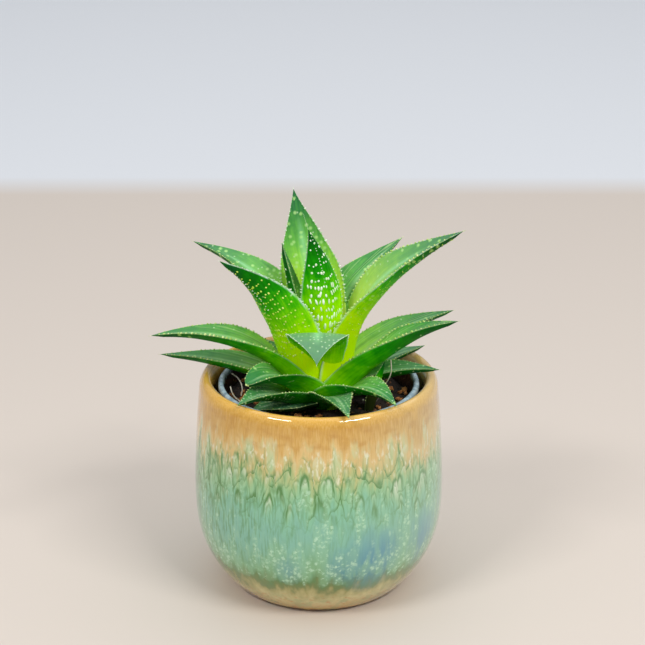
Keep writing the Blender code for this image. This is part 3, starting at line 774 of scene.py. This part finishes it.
class Spine:
    """A cubic curve from the root to the leaf's tip, with the blade's own axes along it."""

    def __init__(self, leaf):
        if len(leaf.root) == 3:
            self.root = Vector(leaf.root) * MM
        else:
            reach, height = leaf.root
            self.root = (reach * direction(leaf.facing[0], 0) + Vector((0, 0, height))) * MM
        self.facing = leaf.facing
        self.tip = Vector(leaf.tip) * MM
        chord = (self.tip - self.root).length
        heading = math.degrees(math.atan2(self.tip.y - self.root.y, self.tip.x - self.root.x))
        bow = leaf.arch * chord
        self.root_handle = self.root + ROOT_HANDLE * bow * direction(leaf.facing[0], leaf.rise)
        self.tip_handle = self.tip - TIP_HANDLE * bow * direction(heading, leaf.fall)

    def point(self, along):
        rest = 1.0 - along
        return (
            rest**3 * self.root
            + 3 * rest**2 * along * self.root_handle
            + 3 * rest * along**2 * self.tip_handle
            + along**3 * self.tip
        )

    def axes(self, along):
        """Unit vectors along the blade, across it, and out of its upper face."""
        forward = (self.point(min(along + NEARBY, 1.0)) - self.point(max(along - NEARBY, 0.0))).normalized()
        turned = min(1.0, along / TURN_BY) ** 2
        side = direction(self.facing[0] + (self.facing[1] - self.facing[0]) * turned + 90, 0)
        across = (side - side.dot(forward) * forward).normalized()
        return forward, across, forward.cross(across)

    def length(self):
        stations = [self.point(step / 20) for step in range(21)]
        return sum((b - a).length for a, b in zip(stations, stations[1:]))


# %% Section
def blade_share(leaf, along):
    """Width of the green blade as a share of its widest; 0 where the bare bristle begins."""
    to_tip = max(0.0, 1.0 - along / (1.0 - leaf.bristle))
    if to_tip < leaf.widest:
        return math.sin(math.pi / 2 * to_tip / leaf.widest) ** leaf.sharp
    return 1.0 - (1.0 - leaf.base) * ((to_tip - leaf.widest) / (1.0 - leaf.widest)) ** 2


def margin_to_margin(turn, behind):
    """From -1 at one margin to 1 at the other, over the upper face or back again behind it."""
    return math.cos(math.tau * (turn - 0.5)) if behind else -math.cos(math.tau * turn)


def leaf_point(leaf, spine, along, turn):
    """The place on the leaf's skin: turn 0 to 0.5 crosses the upper face, 0.5 to 1 comes back behind."""
    share = blade_share(leaf, along)
    thin = BRISTLE_WIDTH * math.sqrt(max(0.0, 1.0 - along))
    margin = 3.0 if turn < 0.25 or turn > 0.75 else 9.0
    waver = 1.0 + MARGIN_WAVER * noise.noise(Vector((along * 7.0, leaf.width, margin)))
    width = max(leaf.width * MM * share * waver, thin)
    clasp = CLASP * max(0.0, 1.0 - along / CLASP_TO) ** 2
    channel = (leaf.hollow * CHANNEL + clasp) * width
    u = margin_to_margin(turn, turn > 0.5)
    drop = channel * (1 - u * u)
    if turn > 0.5:
        edge = min(EDGE, 0.4 * width)
        keel = channel + leaf.thick * leaf.width * MM * share**0.8
        drop = edge * math.sqrt(max(0.0, 1 - u**4)) + keel * (1 - abs(u) ** KEEL_ROUNDNESS)
    _, across, up = spine.axes(along)
    return spine.point(along) + u * width / 2 * across - drop * up


print("leaf lengths in mm:", [round(Spine(leaf).length() / MM) for leaf in LEAVES])


# %% [markdown]
# ## Blade, teeth and dots
# The flat grid is rolled round the section, merged where its edges meet, and closed at its root. Teeth stand
# on both margins, a millimetre or so apart, soft and white. Raised dots sit on the back in rough bands across
# it. Both are small closed shapes with few faces, sunk into the skin.


# %% Roll up a leaf
AROUND = 30
ALONG = 56
BACK_OFFSET = 40.0  # added in mm to the UV across the back, so the material can tell it from the upper face
LOOKS = ("youth", "spots", "specks", "bloom", "rim")  # the values of a row that the material reads
SKIN_SLOT, DOT_SLOT, TOOTH_SLOT = range(3)


def rolled_blade(leaf, spine):
    """The blade itself, with its UV map in mm and its attributes."""
    bm = bmesh.new()
    bmesh.ops.create_grid(bm, x_segments=AROUND, y_segments=ALONG, size=1.0)
    length = spine.length() / MM
    uv = bm.loops.layers.uv.new("Leaf")
    along_layer = bm.verts.layers.float.new("along")
    across_layer = bm.verts.layers.float.new("across")
    looks = {look: bm.verts.layers.float.new(look) for look in LOOKS}
    for face in bm.faces:
        middle = face.calc_center_median()
        behind = middle.x > 0.0
        bare = (middle.y + 1) / 2 > 1.0 - leaf.bristle
        face.material_index = TOOTH_SLOT if bare else SKIN_SLOT
        for loop in face.loops:
            turn, along = (loop.vert.co.x + 1) / 2, (loop.vert.co.y + 1) / 2
            half = leaf.width / 2 * blade_share(leaf, along)
            u_mm = margin_to_margin(turn, behind) * half + (BACK_OFFSET if behind else 0.0)
            loop[uv].uv = (u_mm, along * length)
    for vertex in bm.verts:
        turn, along = (vertex.co.x + 1) / 2, (vertex.co.y + 1) / 2
        vertex[along_layer] = along
        vertex[across_layer] = margin_to_margin(turn, turn > 0.5)
        for look, layer in looks.items():
            vertex[layer] = getattr(leaf, look)
        vertex.co = leaf_point(leaf, spine, along, turn)
    bmesh.ops.remove_doubles(bm, verts=bm.verts, dist=0.001 * MM)
    bmesh.ops.holes_fill(bm, edges=[edge for edge in bm.edges if edge.is_boundary], sides=0)
    bmesh.ops.recalc_face_normals(bm, faces=bm.faces)
    return bm


def skin_frame(leaf, spine, along, turn):
    """A point on the skin and its outward normal, with the direction towards the tip."""
    here = leaf_point(leaf, spine, along, turn)
    ahead = leaf_point(leaf, spine, along + NEARBY, turn) - here
    aside = leaf_point(leaf, spine, along, turn + NEARBY) - here
    return here, aside.cross(ahead).normalized(), ahead.normalized()


# %% Teeth
TOOTH_SPACING = 1.35 * MM
TOOTH_LENGTH = 0.72 * MM
TEETH_FROM = 0.26
TEETH_TO = 0.97
KEEL_TEETH_FROM = 0.55
KEEL_TEETH_TO = 0.96
KEEL_TOOTH_SHARE = 0.75  # size of a keel tooth, against one on the margin
KEEL_TURN = 0.75  # where the keel runs, on the way round the section
TOOTH_RISE = 0.2  # how far a tooth's middle stands out of the skin, as a share of its length


def place_tooth(bm, foot, lean, size):
    """One blunt little cone, sunk a little into the skin."""
    place = foot + lean * size * TOOTH_RISE
    turned = lean.to_track_quat("Z", "Y").to_matrix().to_4x4()
    made = bmesh.ops.create_cone(
        bm, cap_ends=True, segments=8, radius1=0.5 * size, radius2=0.1 * size, depth=size,
        matrix=Matrix.Translation(place) @ turned,
    )
    paint(made["verts"], TOOTH_SLOT)


def add_teeth(bm, leaf, spine, draw):
    """Soft teeth on both margins, leaning towards the tip."""
    count = int(spine.length() * (TEETH_TO - TEETH_FROM) / TOOTH_SPACING)
    span = TEETH_TO - leaf.bristle - TEETH_FROM
    for side, turn in ((-1, 0.0), (1, 0.5)):
        for tooth in range(count):
            along = TEETH_FROM + span * (tooth + draw.uniform(0.3, 0.7)) / count
            forward, across, _ = spine.axes(along)
            lean = (side * across + draw.uniform(0.3, 0.7) * forward).normalized()
            taper = min(1.0, 0.45 + blade_share(leaf, along))
            size = TOOTH_LENGTH * leaf.teeth * draw.uniform(0.6, 1.2) * taper
            place_tooth(bm, leaf_point(leaf, spine, along, turn), lean, size)


def add_keel_teeth(bm, leaf, spine, draw):
    """The dotted leaves have a row of teeth along the keel as well."""
    count = int(spine.length() * (KEEL_TEETH_TO - KEEL_TEETH_FROM) / TOOTH_SPACING)
    span = KEEL_TEETH_TO - leaf.bristle - KEEL_TEETH_FROM
    for tooth in range(count):
        along = KEEL_TEETH_FROM + span * (tooth + draw.uniform(0.2, 0.8)) / count
        here, normal, forward = skin_frame(leaf, spine, along, KEEL_TURN)
        lean = (normal + 0.6 * forward).normalized()
        size = KEEL_TOOTH_SHARE * TOOTH_LENGTH * leaf.teeth * draw.uniform(0.7, 1.1)
        place_tooth(bm, here, lean, size)


# %% Raised dots
BAND_SPACING = 2.3 * MM
BAND_SAG = 0.35
DOT_SPACING = 0.95 * MM
DOT_RADIUS = 0.42 * MM
DOTS_FROM = 0.2
DOTS_SPAN = 0.74
DOT_GAPS = 0.36  # share of the places that stay empty
DOTS_ACROSS = 0.88  # how near to the margins the dots come
LONG_DOTS_TO = 0.55  # share of the length below which white dots are drawn out


def add_dots(bm, leaf, spine, draw):
    """Raised dots on the back, in rows that sag across it; low white ones are drawn out lengthwise."""
    length = spine.length()
    rows = int(length * DOTS_SPAN / BAND_SPACING)
    for row in range(rows):
        middle = DOTS_FROM + DOTS_SPAN * (row + 0.5) / rows
        places = max(2, round(leaf.width * MM * blade_share(leaf, middle) / DOT_SPACING))
        tilt = draw.uniform(-0.25, 0.25)
        for place in range(places):
            if draw.random() < DOT_GAPS:
                continue
            u = -DOTS_ACROSS + 2 * DOTS_ACROSS * (place + draw.uniform(0.3, 0.7)) / places
            sag = BAND_SAG * u * u + tilt * u + draw.uniform(-0.16, 0.16)
            along = middle + sag * BAND_SPACING / length
            turn = 0.5 + math.acos(u) / math.tau
            centre, normal, forward = skin_frame(leaf, spine, along, turn)
            radius = DOT_RADIUS * leaf.dots * draw.uniform(0.6, 1.0)
            low = leaf.white_dots and middle < LONG_DOTS_TO
            drawn_out = draw.uniform(1.3, 3.0) if low else draw.uniform(0.8, 1.4)
            stretch = Matrix.Diagonal((1.0, drawn_out, 0.5, 1.0))
            side = forward.cross(normal).normalized()
            turned = Matrix((side, normal.cross(side), normal)).transposed().to_4x4()
            spun = Matrix.Rotation(draw.uniform(-0.35, 0.35), 4, "Z")
            made = bmesh.ops.create_icosphere(
                bm, subdivisions=2, radius=radius, matrix=Matrix.Translation(centre) @ turned @ spun @ stretch
            )
            paint(made["verts"], DOT_SLOT)


# %% [markdown]
# ## The leaf's skin
# The skin is a waxy cuticle over clear green flesh. Young leaves are lime at the base and deep green at the
# tip, old ones darker all along. The upper face is greyer, with pale sunken spots and a paler band down its
# middle, which on old leaves is a painted highlight. The colours run along the leaf with the attribute, and
# the spots are set out on the UV map in mm.

# %% Leaf colours
# Colours along a leaf, from a lime base to a dark tip
BACK_COLOURS = (
    (0.0, "D2F500"), (0.18, "B4EC00"), (0.34, "80D600"), (0.5, "40B000"), (0.64, "128C00"), (0.82, "056800"),
    (1.0, "08501A"),
)
FACE_COLOURS = (
    (0.0, "D6F450"), (0.25, "BCEA4A"), (0.42, "98D64A"), (0.6, "6EBA4A"), (0.78, "4A9643"), (0.9, "348242"),
    (1.0, "22663A"),
)
SPOT_SPACING = 2.2  # mm on the UV map, for the broad cells and then the small ones
SPECK_SPACING = 1.15
OFFSET_FOOT_SHADE = "2E3A14"  # painted shade on the foot of the young offset, low among the leaves


# %% Spots and age
def scattered_spots(tree, surface, spacing, share):
    """Round pale spots in mm on the skin; share is the part of the cells that hold one."""
    cells = add(tree, "TexVoronoi", {"Vector": surface, "Scale": 1 / spacing}, voronoi_dimensions="2D").node
    chance = add(tree, "SeparateColor", {0: cells.outputs["Color"]})
    chance = add(tree, "Math", {0: chance, 1: share}, operation="LESS_THAN")
    return mask(tree, (cells.outputs["Distance"], 0.32, 0.1), chance)


def skin_by_age(tree, surface, fibre, along, aside, youth):
    """Colours of the upper face and the back: age grows along the leaf, and fibres and blotches shift it."""
    blotch = add(tree, "TexNoise", {"Vector": surface, "Scale": 0.28, "Detail": 2.0})
    shift = add(tree, "Math", {0: youth, 1: -0.5, 2: 0.4}, operation="MULTIPLY_ADD")
    age = add(tree, "Math", {0: shift, 1: mask(tree, (along, 0.9, 0.25)), 2: along}, operation="MULTIPLY_ADD")
    for pattern in (fibre, blotch):
        age = add(tree, "Math", {0: pattern, 1: 0.3, 2: age}, operation="MULTIPLY_ADD")
    age = add(tree, "Math", {0: age, 1: 0.3}, operation="SUBTRACT")
    # The middle of the upper face is younger than its flanks, and the back is shifted a little darker, as
    # painted shade on the undersides
    core = mask(tree, (aside, 0.8, 0.0), youth, (along, 0.75, 0.4))
    inner_age = add(tree, "Math", {0: core, 1: -0.12, 2: age}, operation="MULTIPLY_ADD")
    shaded_back_age = add(tree, "Math", {0: age, 1: 0.05}, operation="ADD")
    face = add(tree, "ValToRGB", {0: inner_age}, stops=FACE_COLOURS)
    return face, add(tree, "ValToRGB", {0: shaded_back_age}, stops=BACK_COLOURS)


# %% Leaf skin
def succulent_skin():
    """Waxy leaf cuticle: a soft shine over green flesh that lets some light through."""
    material, tree, shader = new_material("succulent_leaf_skin")
    surface = add(tree, "UVMap", out="UV", uv_map="Leaf")
    u_mm = add(tree, "SeparateXYZ", {0: surface}, out="X")
    behind = add(tree, "Math", {0: u_mm, 1: BACK_OFFSET / 2}, operation="GREATER_THAN")
    along, across, youth, spots, specks, bloom, rim = (
        add(tree, "Attribute", out="Fac", attribute_name=name) for name in ("along", "across", *LOOKS)
    )
    aside = add(tree, "Math", {0: across}, operation="ABSOLUTE")

    # Noise drawn out along the leaf: fibres, streaks and thin lines, in turns per mm across it and along it
    drawn_out = []
    for per_mm, detail in (((1.7, 0.12, 0.0), 3.0), ((0.55, 0.02, 0.0), 1.0), ((0.85, 0.012, 0.0), 0.0)):
        scaled = add(tree, "VectorMath", {0: surface, 1: per_mm}, operation="MULTIPLY")
        drawn_out.append(add(tree, "TexNoise", {"Vector": scaled, "Scale": 1.0, "Detail": detail}))
    fibre, streak, line = drawn_out
    face, back = skin_by_age(tree, surface, fibre, along, aside, youth)

    # The upper face: grey wax, a pale band down the middle (a painted highlight on old leaves), dark streaks
    # and pale lengthwise lines
    young = mask(tree, (youth, 0.65, 0.8))
    old = mask(tree, (youth, 0.8, 0.65))
    line = add(tree, "Math", {0: line, 1: 0.5}, operation="SUBTRACT")
    line = add(tree, "Math", {0: line}, operation="ABSOLUTE")
    face = layered(
        tree,
        face,
        ("729C7A", bloom, (along, 0.2, 0.55), 0.62),
        ("9FE0A4", (aside, 0.26, 0.02), (along, 0.3, 0.5), (along, 0.84, 0.7), young, 0.6),
        ("2C7038", (streak, 0.48, 0.62), old, 0.38),
        # Painted highlight: a pale band down the middle of an old leaf's upper face
        ("A6CE96", (aside, 0.2, 0.03), (along, 0.15, 0.3), (along, 0.96, 0.85), old, 0.5),
        ("B4D890", (line, 0.03, 0.006), (aside, 0.9, 0.8), old, (along, 0.15, 0.3), 0.5),
    )

    # Pale sunken spots on both sides, broad ones and small ones
    spotted = mask(tree, (along, 0.3, 0.5))
    broad = mask(tree, scattered_spots(tree, surface, SPOT_SPACING, spots), spotted)
    small = mask(tree, scattered_spots(tree, surface, SPECK_SPACING, specks), spotted)
    # Painted shade: the young offset's foot is painted dark olive
    foot_shade = mask(tree, (youth, 1.6, 1.7), (along, 0.56, 0.42))
    face = layered(tree, face, ("B8E48E", broad, 0.75), ("C4E3B4", small, 0.65), (OFFSET_FOOT_SHADE, foot_shade))
    back = layered(tree, back, ("B8E47C", broad, 0.55), ("B4DE9C", small, 0.7), (OFFSET_FOOT_SHADE, foot_shade))

    # Both sides share the pale margin, which is worn whiter in places
    colour = add(tree, "Mix", {0: behind, 6: face, 7: back}, out=2, data_type="RGBA")
    worn = mask(tree, (aside, 0.945, 0.985), (fibre, 0.3, 0.6), rim)
    colour = layered(tree, colour, ("BFE08A", (aside, 0.965, 1.0), 0.5), ("CDE8D8", worn))
    rough = add(tree, "MapRange", {"Value": fibre, "To Min": 0.34, "To Max": 0.52})
    bump = add(tree, "Bump", {"Strength": 0.4, "Distance": 0.12 * MM, "Height": fibre}, out="Normal")
    # The wax on the upper face shines more than the back
    shine = add(tree, "MapRange", {"Value": behind, "To Min": 0.36, "To Max": 0.1})
    skin = {"Base Color": colour, "Roughness": rough, "Normal": bump, "IOR": 1.4, "Specular IOR Level": shine}
    flesh = {"Subsurface Weight": 0.15, "Subsurface Radius": (0.5, 1.0, 0.15), "Subsurface Scale": 1.2 * MM}
    connect(tree, shader, skin | flesh)
    return material


SKIN = succulent_skin()
print("nodes in the leaf's skin:", len(SKIN.node_tree.nodes))


# %% Dots and teeth
def wart(name, dark, light):
    """Dry, pale tissue of the raised dots and the teeth: hardly any green in it, and no shine."""
    material, tree, shader = new_material(name)
    place = add(tree, "TexCoord", out="Object")
    patch = add(tree, "TexNoise", {"Vector": place, "Scale": 1 / (1.6 * MM), "Detail": 2.0})
    colour = add(tree, "ValToRGB", {0: patch}, stops=((0.38, dark), (0.6, light)))
    connect(tree, shader, {"Base Color": colour, "Roughness": 0.55, "IOR": 1.4})
    return material


WHITE_DOT = wart("white_leaf_wart", "D6EBC2", "F6FFF0")
CREAM_DOT = wart("cream_leaf_wart", "B2D83C", "DFEE7C")
WHITE_TOOTH = wart("white_leaf_tooth", "A8D29A", "EEF8E4")
LIME_TOOTH = wart("lime_leaf_tooth", "A4CC54", "E6F2A8")
for finish in (WHITE_DOT, CREAM_DOT, WHITE_TOOTH, LIME_TOOTH):
    print("made:", finish.name)


# %% [markdown]
# ## The rosette
# Every leaf goes the same way: the blade is rolled up, teeth are set on its margins, and a leaf with dots
# gets them on its back and a row of teeth on its keel. One seeded random series runs through them all, so no
# two leaves are alike, and each run gives the same plant.


# %% Grow the leaves
def make_leaf(leaf, draw):
    spine = Spine(leaf)
    bm = rolled_blade(leaf, spine)
    add_teeth(bm, leaf, spine, draw)
    if leaf.dots:
        add_keel_teeth(bm, leaf, spine, draw)
        add_dots(bm, leaf, spine, draw)
    dot = WHITE_DOT if leaf.white_dots else CREAM_DOT
    tooth = WHITE_TOOTH if leaf.white_teeth else LIME_TOOTH
    return make_piece(f"{leaf.name}_blade", bm, [SKIN, dot, tooth], leaf.name)


leaf_draw = random.Random(23)
print("leaf faces:", sum(len(make_leaf(leaf, leaf_draw).data.polygons) for leaf in LEAVES))

# %% [markdown]
# ## The stem
# The short stem is hidden among the leaf bases, and its solid is already right. It keeps its shape and gets
# the colour of young tissue.

# %% Stem
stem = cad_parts["stem"]
stem.data.materials.clear()
stem.data.materials.append(grainy("young_stem_tissue", "8FB43A", "C2DC6E", 1.5 * MM, 0.5))
print("stem faces:", len(stem.data.polygons))

# %% [markdown]
# ## Root threads
# Two dry roots and a withered leaf bristle lie on the soil, nearly white and matt. Each is a thin tube
# along a bent line, made as a bevelled curve and turned into a mesh.

# %% Threads
# name, radius and places, in mm
THREADS = (
    (
        "root_thread_left", 0.2,
        (-26.2, 6.4, 63.4), (-23.9, 3.7, 62.5), (-22.9, 1.3, 60.5), (-23.2, -0.5, 59.0),
    ),
    (
        "root_thread_low", 0.2,
        (-26.3, -2.0, 62.6), (-25.6, -3.5, 61.0), (-23.7, -5.2, 59.5), (-22.2, -6.0, 59.0),
    ),
    (
        "withered_bristle", 0.17,
        (17.0, -4.0, 58.4), (19.8, -8.0, 66.1), (21.2, -9.2, 70.0), (21.1, -10.0, 74.4),
    ),
)


def make_thread(name, radius, points, material):
    """A round thread along a smooth line through a few points, in mm."""
    curve = bpy.data.curves.new(name, "CURVE")
    curve.dimensions = "3D"
    curve.bevel_depth = radius * MM
    curve.bevel_resolution = 2
    curve.use_fill_caps = True
    spline = curve.splines.new("BEZIER")
    spline.bezier_points.add(len(points) - 1)
    for knot, point in zip(spline.bezier_points, points):
        knot.co = Vector(point) * MM
        knot.handle_left_type = "AUTO"
        knot.handle_right_type = "AUTO"
    guide = bpy.data.objects.new(f"{name}_guide", curve)
    bpy.context.scene.collection.objects.link(guide)
    mesh = bpy.data.meshes.new_from_object(guide.evaluated_get(bpy.context.evaluated_depsgraph_get()))
    bpy.data.objects.remove(guide, do_unlink=True)
    bm = bmesh.new()
    bm.from_mesh(mesh)
    bpy.data.meshes.remove(mesh)
    return make_piece(name, bm, [material], None)


dry_root = grainy("dry_root", "CFC4A8", "F6F1E2", 1.0 * MM, 0.7)
for name, radius, *points in THREADS:
    thread = make_thread(name, radius, points, dry_root)
    print(name, "faces:", len(thread.data.polygons))

# %% [markdown]
# ## Table and light
# The pot stands on a plain pale table. The light is a bright room: an even pale sky, a big soft light above,
# and two window-like panes whose reflections make the two short bright lines on the lip.

# %% Floor
FLOOR_RADIUS = 4.0
WALL_FROM = 0.395  # the floor goes over into a paler wall behind the pot, in metres
WALL_TO = 0.425
bm = bmesh.new()
bmesh.ops.create_circle(bm, cap_ends=True, radius=FLOOR_RADIUS, segments=64)
floor_mesh = bpy.data.meshes.new("table_top")
bm.to_mesh(floor_mesh)
bm.free()
floor = bpy.data.objects.new("table_top", floor_mesh)
bpy.context.scene.collection.objects.link(floor)

floor_material, tree, shader = new_material("pale_table")
place = add(tree, "TexCoord", out="Object")
depth = add(tree, "SeparateXYZ", {0: place}, out="Y")
# Painted light: the wall is paler the farther back it lies, making up for the light falling off there
painted_light_wall = add(tree, "ValToRGB", {0: mask(tree, (depth, 0.4, 1.2))}, stops=((0.0, "E1E4E8"), (1.0, "F1F4F8")))
far = mask(tree, (depth, WALL_FROM, WALL_TO))
colour = add(tree, "Mix", {0: far, 6: linear("D4C9BE"), 7: painted_light_wall}, out=2, data_type="RGBA")
connect(tree, shader, {"Base Color": colour, "Roughness": 0.6})
floor_mesh.materials.append(floor_material)
print("floor:", 2 * FLOOR_RADIUS, "m across")

# %% Lights
SKY_COLOUR = "F1F4FA"
SKY_STRENGTH = 0.42
# name, place, aimed at, width and height in metres, power in watts
LIGHTS = (
    ("overhead_softbox", (0.1, 0.25, 1.15), (0.0, 0.05, 0.08), 1.8, 1.8, 7.6),
    ("window_pane_left", (-0.55, -0.57, 0.84), (0.0, 0.0, 0.065), 0.36, 0.12, 4.2),
    ("window_pane_right", (0.53, -0.61, 0.88), (0.0, 0.0, 0.065), 0.5, 0.12, 6.2),
)
world = bpy.data.worlds.new("bright_room")
bpy.context.scene.world = world
world.use_nodes = True
sky = {"Color": linear(SKY_COLOUR), "Strength": SKY_STRENGTH}
connect(world.node_tree, world.node_tree.nodes["Background"], sky)
for name, place, target, width, height, power in LIGHTS:
    lamp = bpy.data.lights.new(name, "AREA")
    lamp.shape = "RECTANGLE"
    lamp.size = width
    lamp.size_y = height
    lamp.energy = power
    light = bpy.data.objects.new(name, lamp)
    light.location = place
    light.rotation_euler = (Vector(target) - Vector(place)).to_track_quat("-Z", "Y").to_euler()
    bpy.context.scene.collection.objects.link(light)
print("lights:", len(LIGHTS))

# %% [markdown]
# ## Camera
# The photograph looks down on the plant at about twenty-one degrees through a long lens.

# %% Camera
CAMERA_PLACE = (0.00113, -0.5612, 0.29457)
CAMERA_TILT = 69.28  # degrees up from straight down
CAMERA_LENS = 113.4
CAMERA_SENSOR = 36.0
camera_data = bpy.data.cameras.new("camera")
camera_data.sensor_width = CAMERA_SENSOR
camera_data.lens = CAMERA_LENS
camera = bpy.data.objects.new("camera", camera_data)
camera.location = CAMERA_PLACE
camera.rotation_euler = (math.radians(CAMERA_TILT), 0.0, 0.0)
bpy.context.scene.collection.objects.link(camera)
bpy.context.scene.camera = camera
bpy.context.scene.view_settings.view_transform = "Standard"
print("camera:", CAMERA_LENS, "mm lens,", round(camera.location.length, 3), "m away")
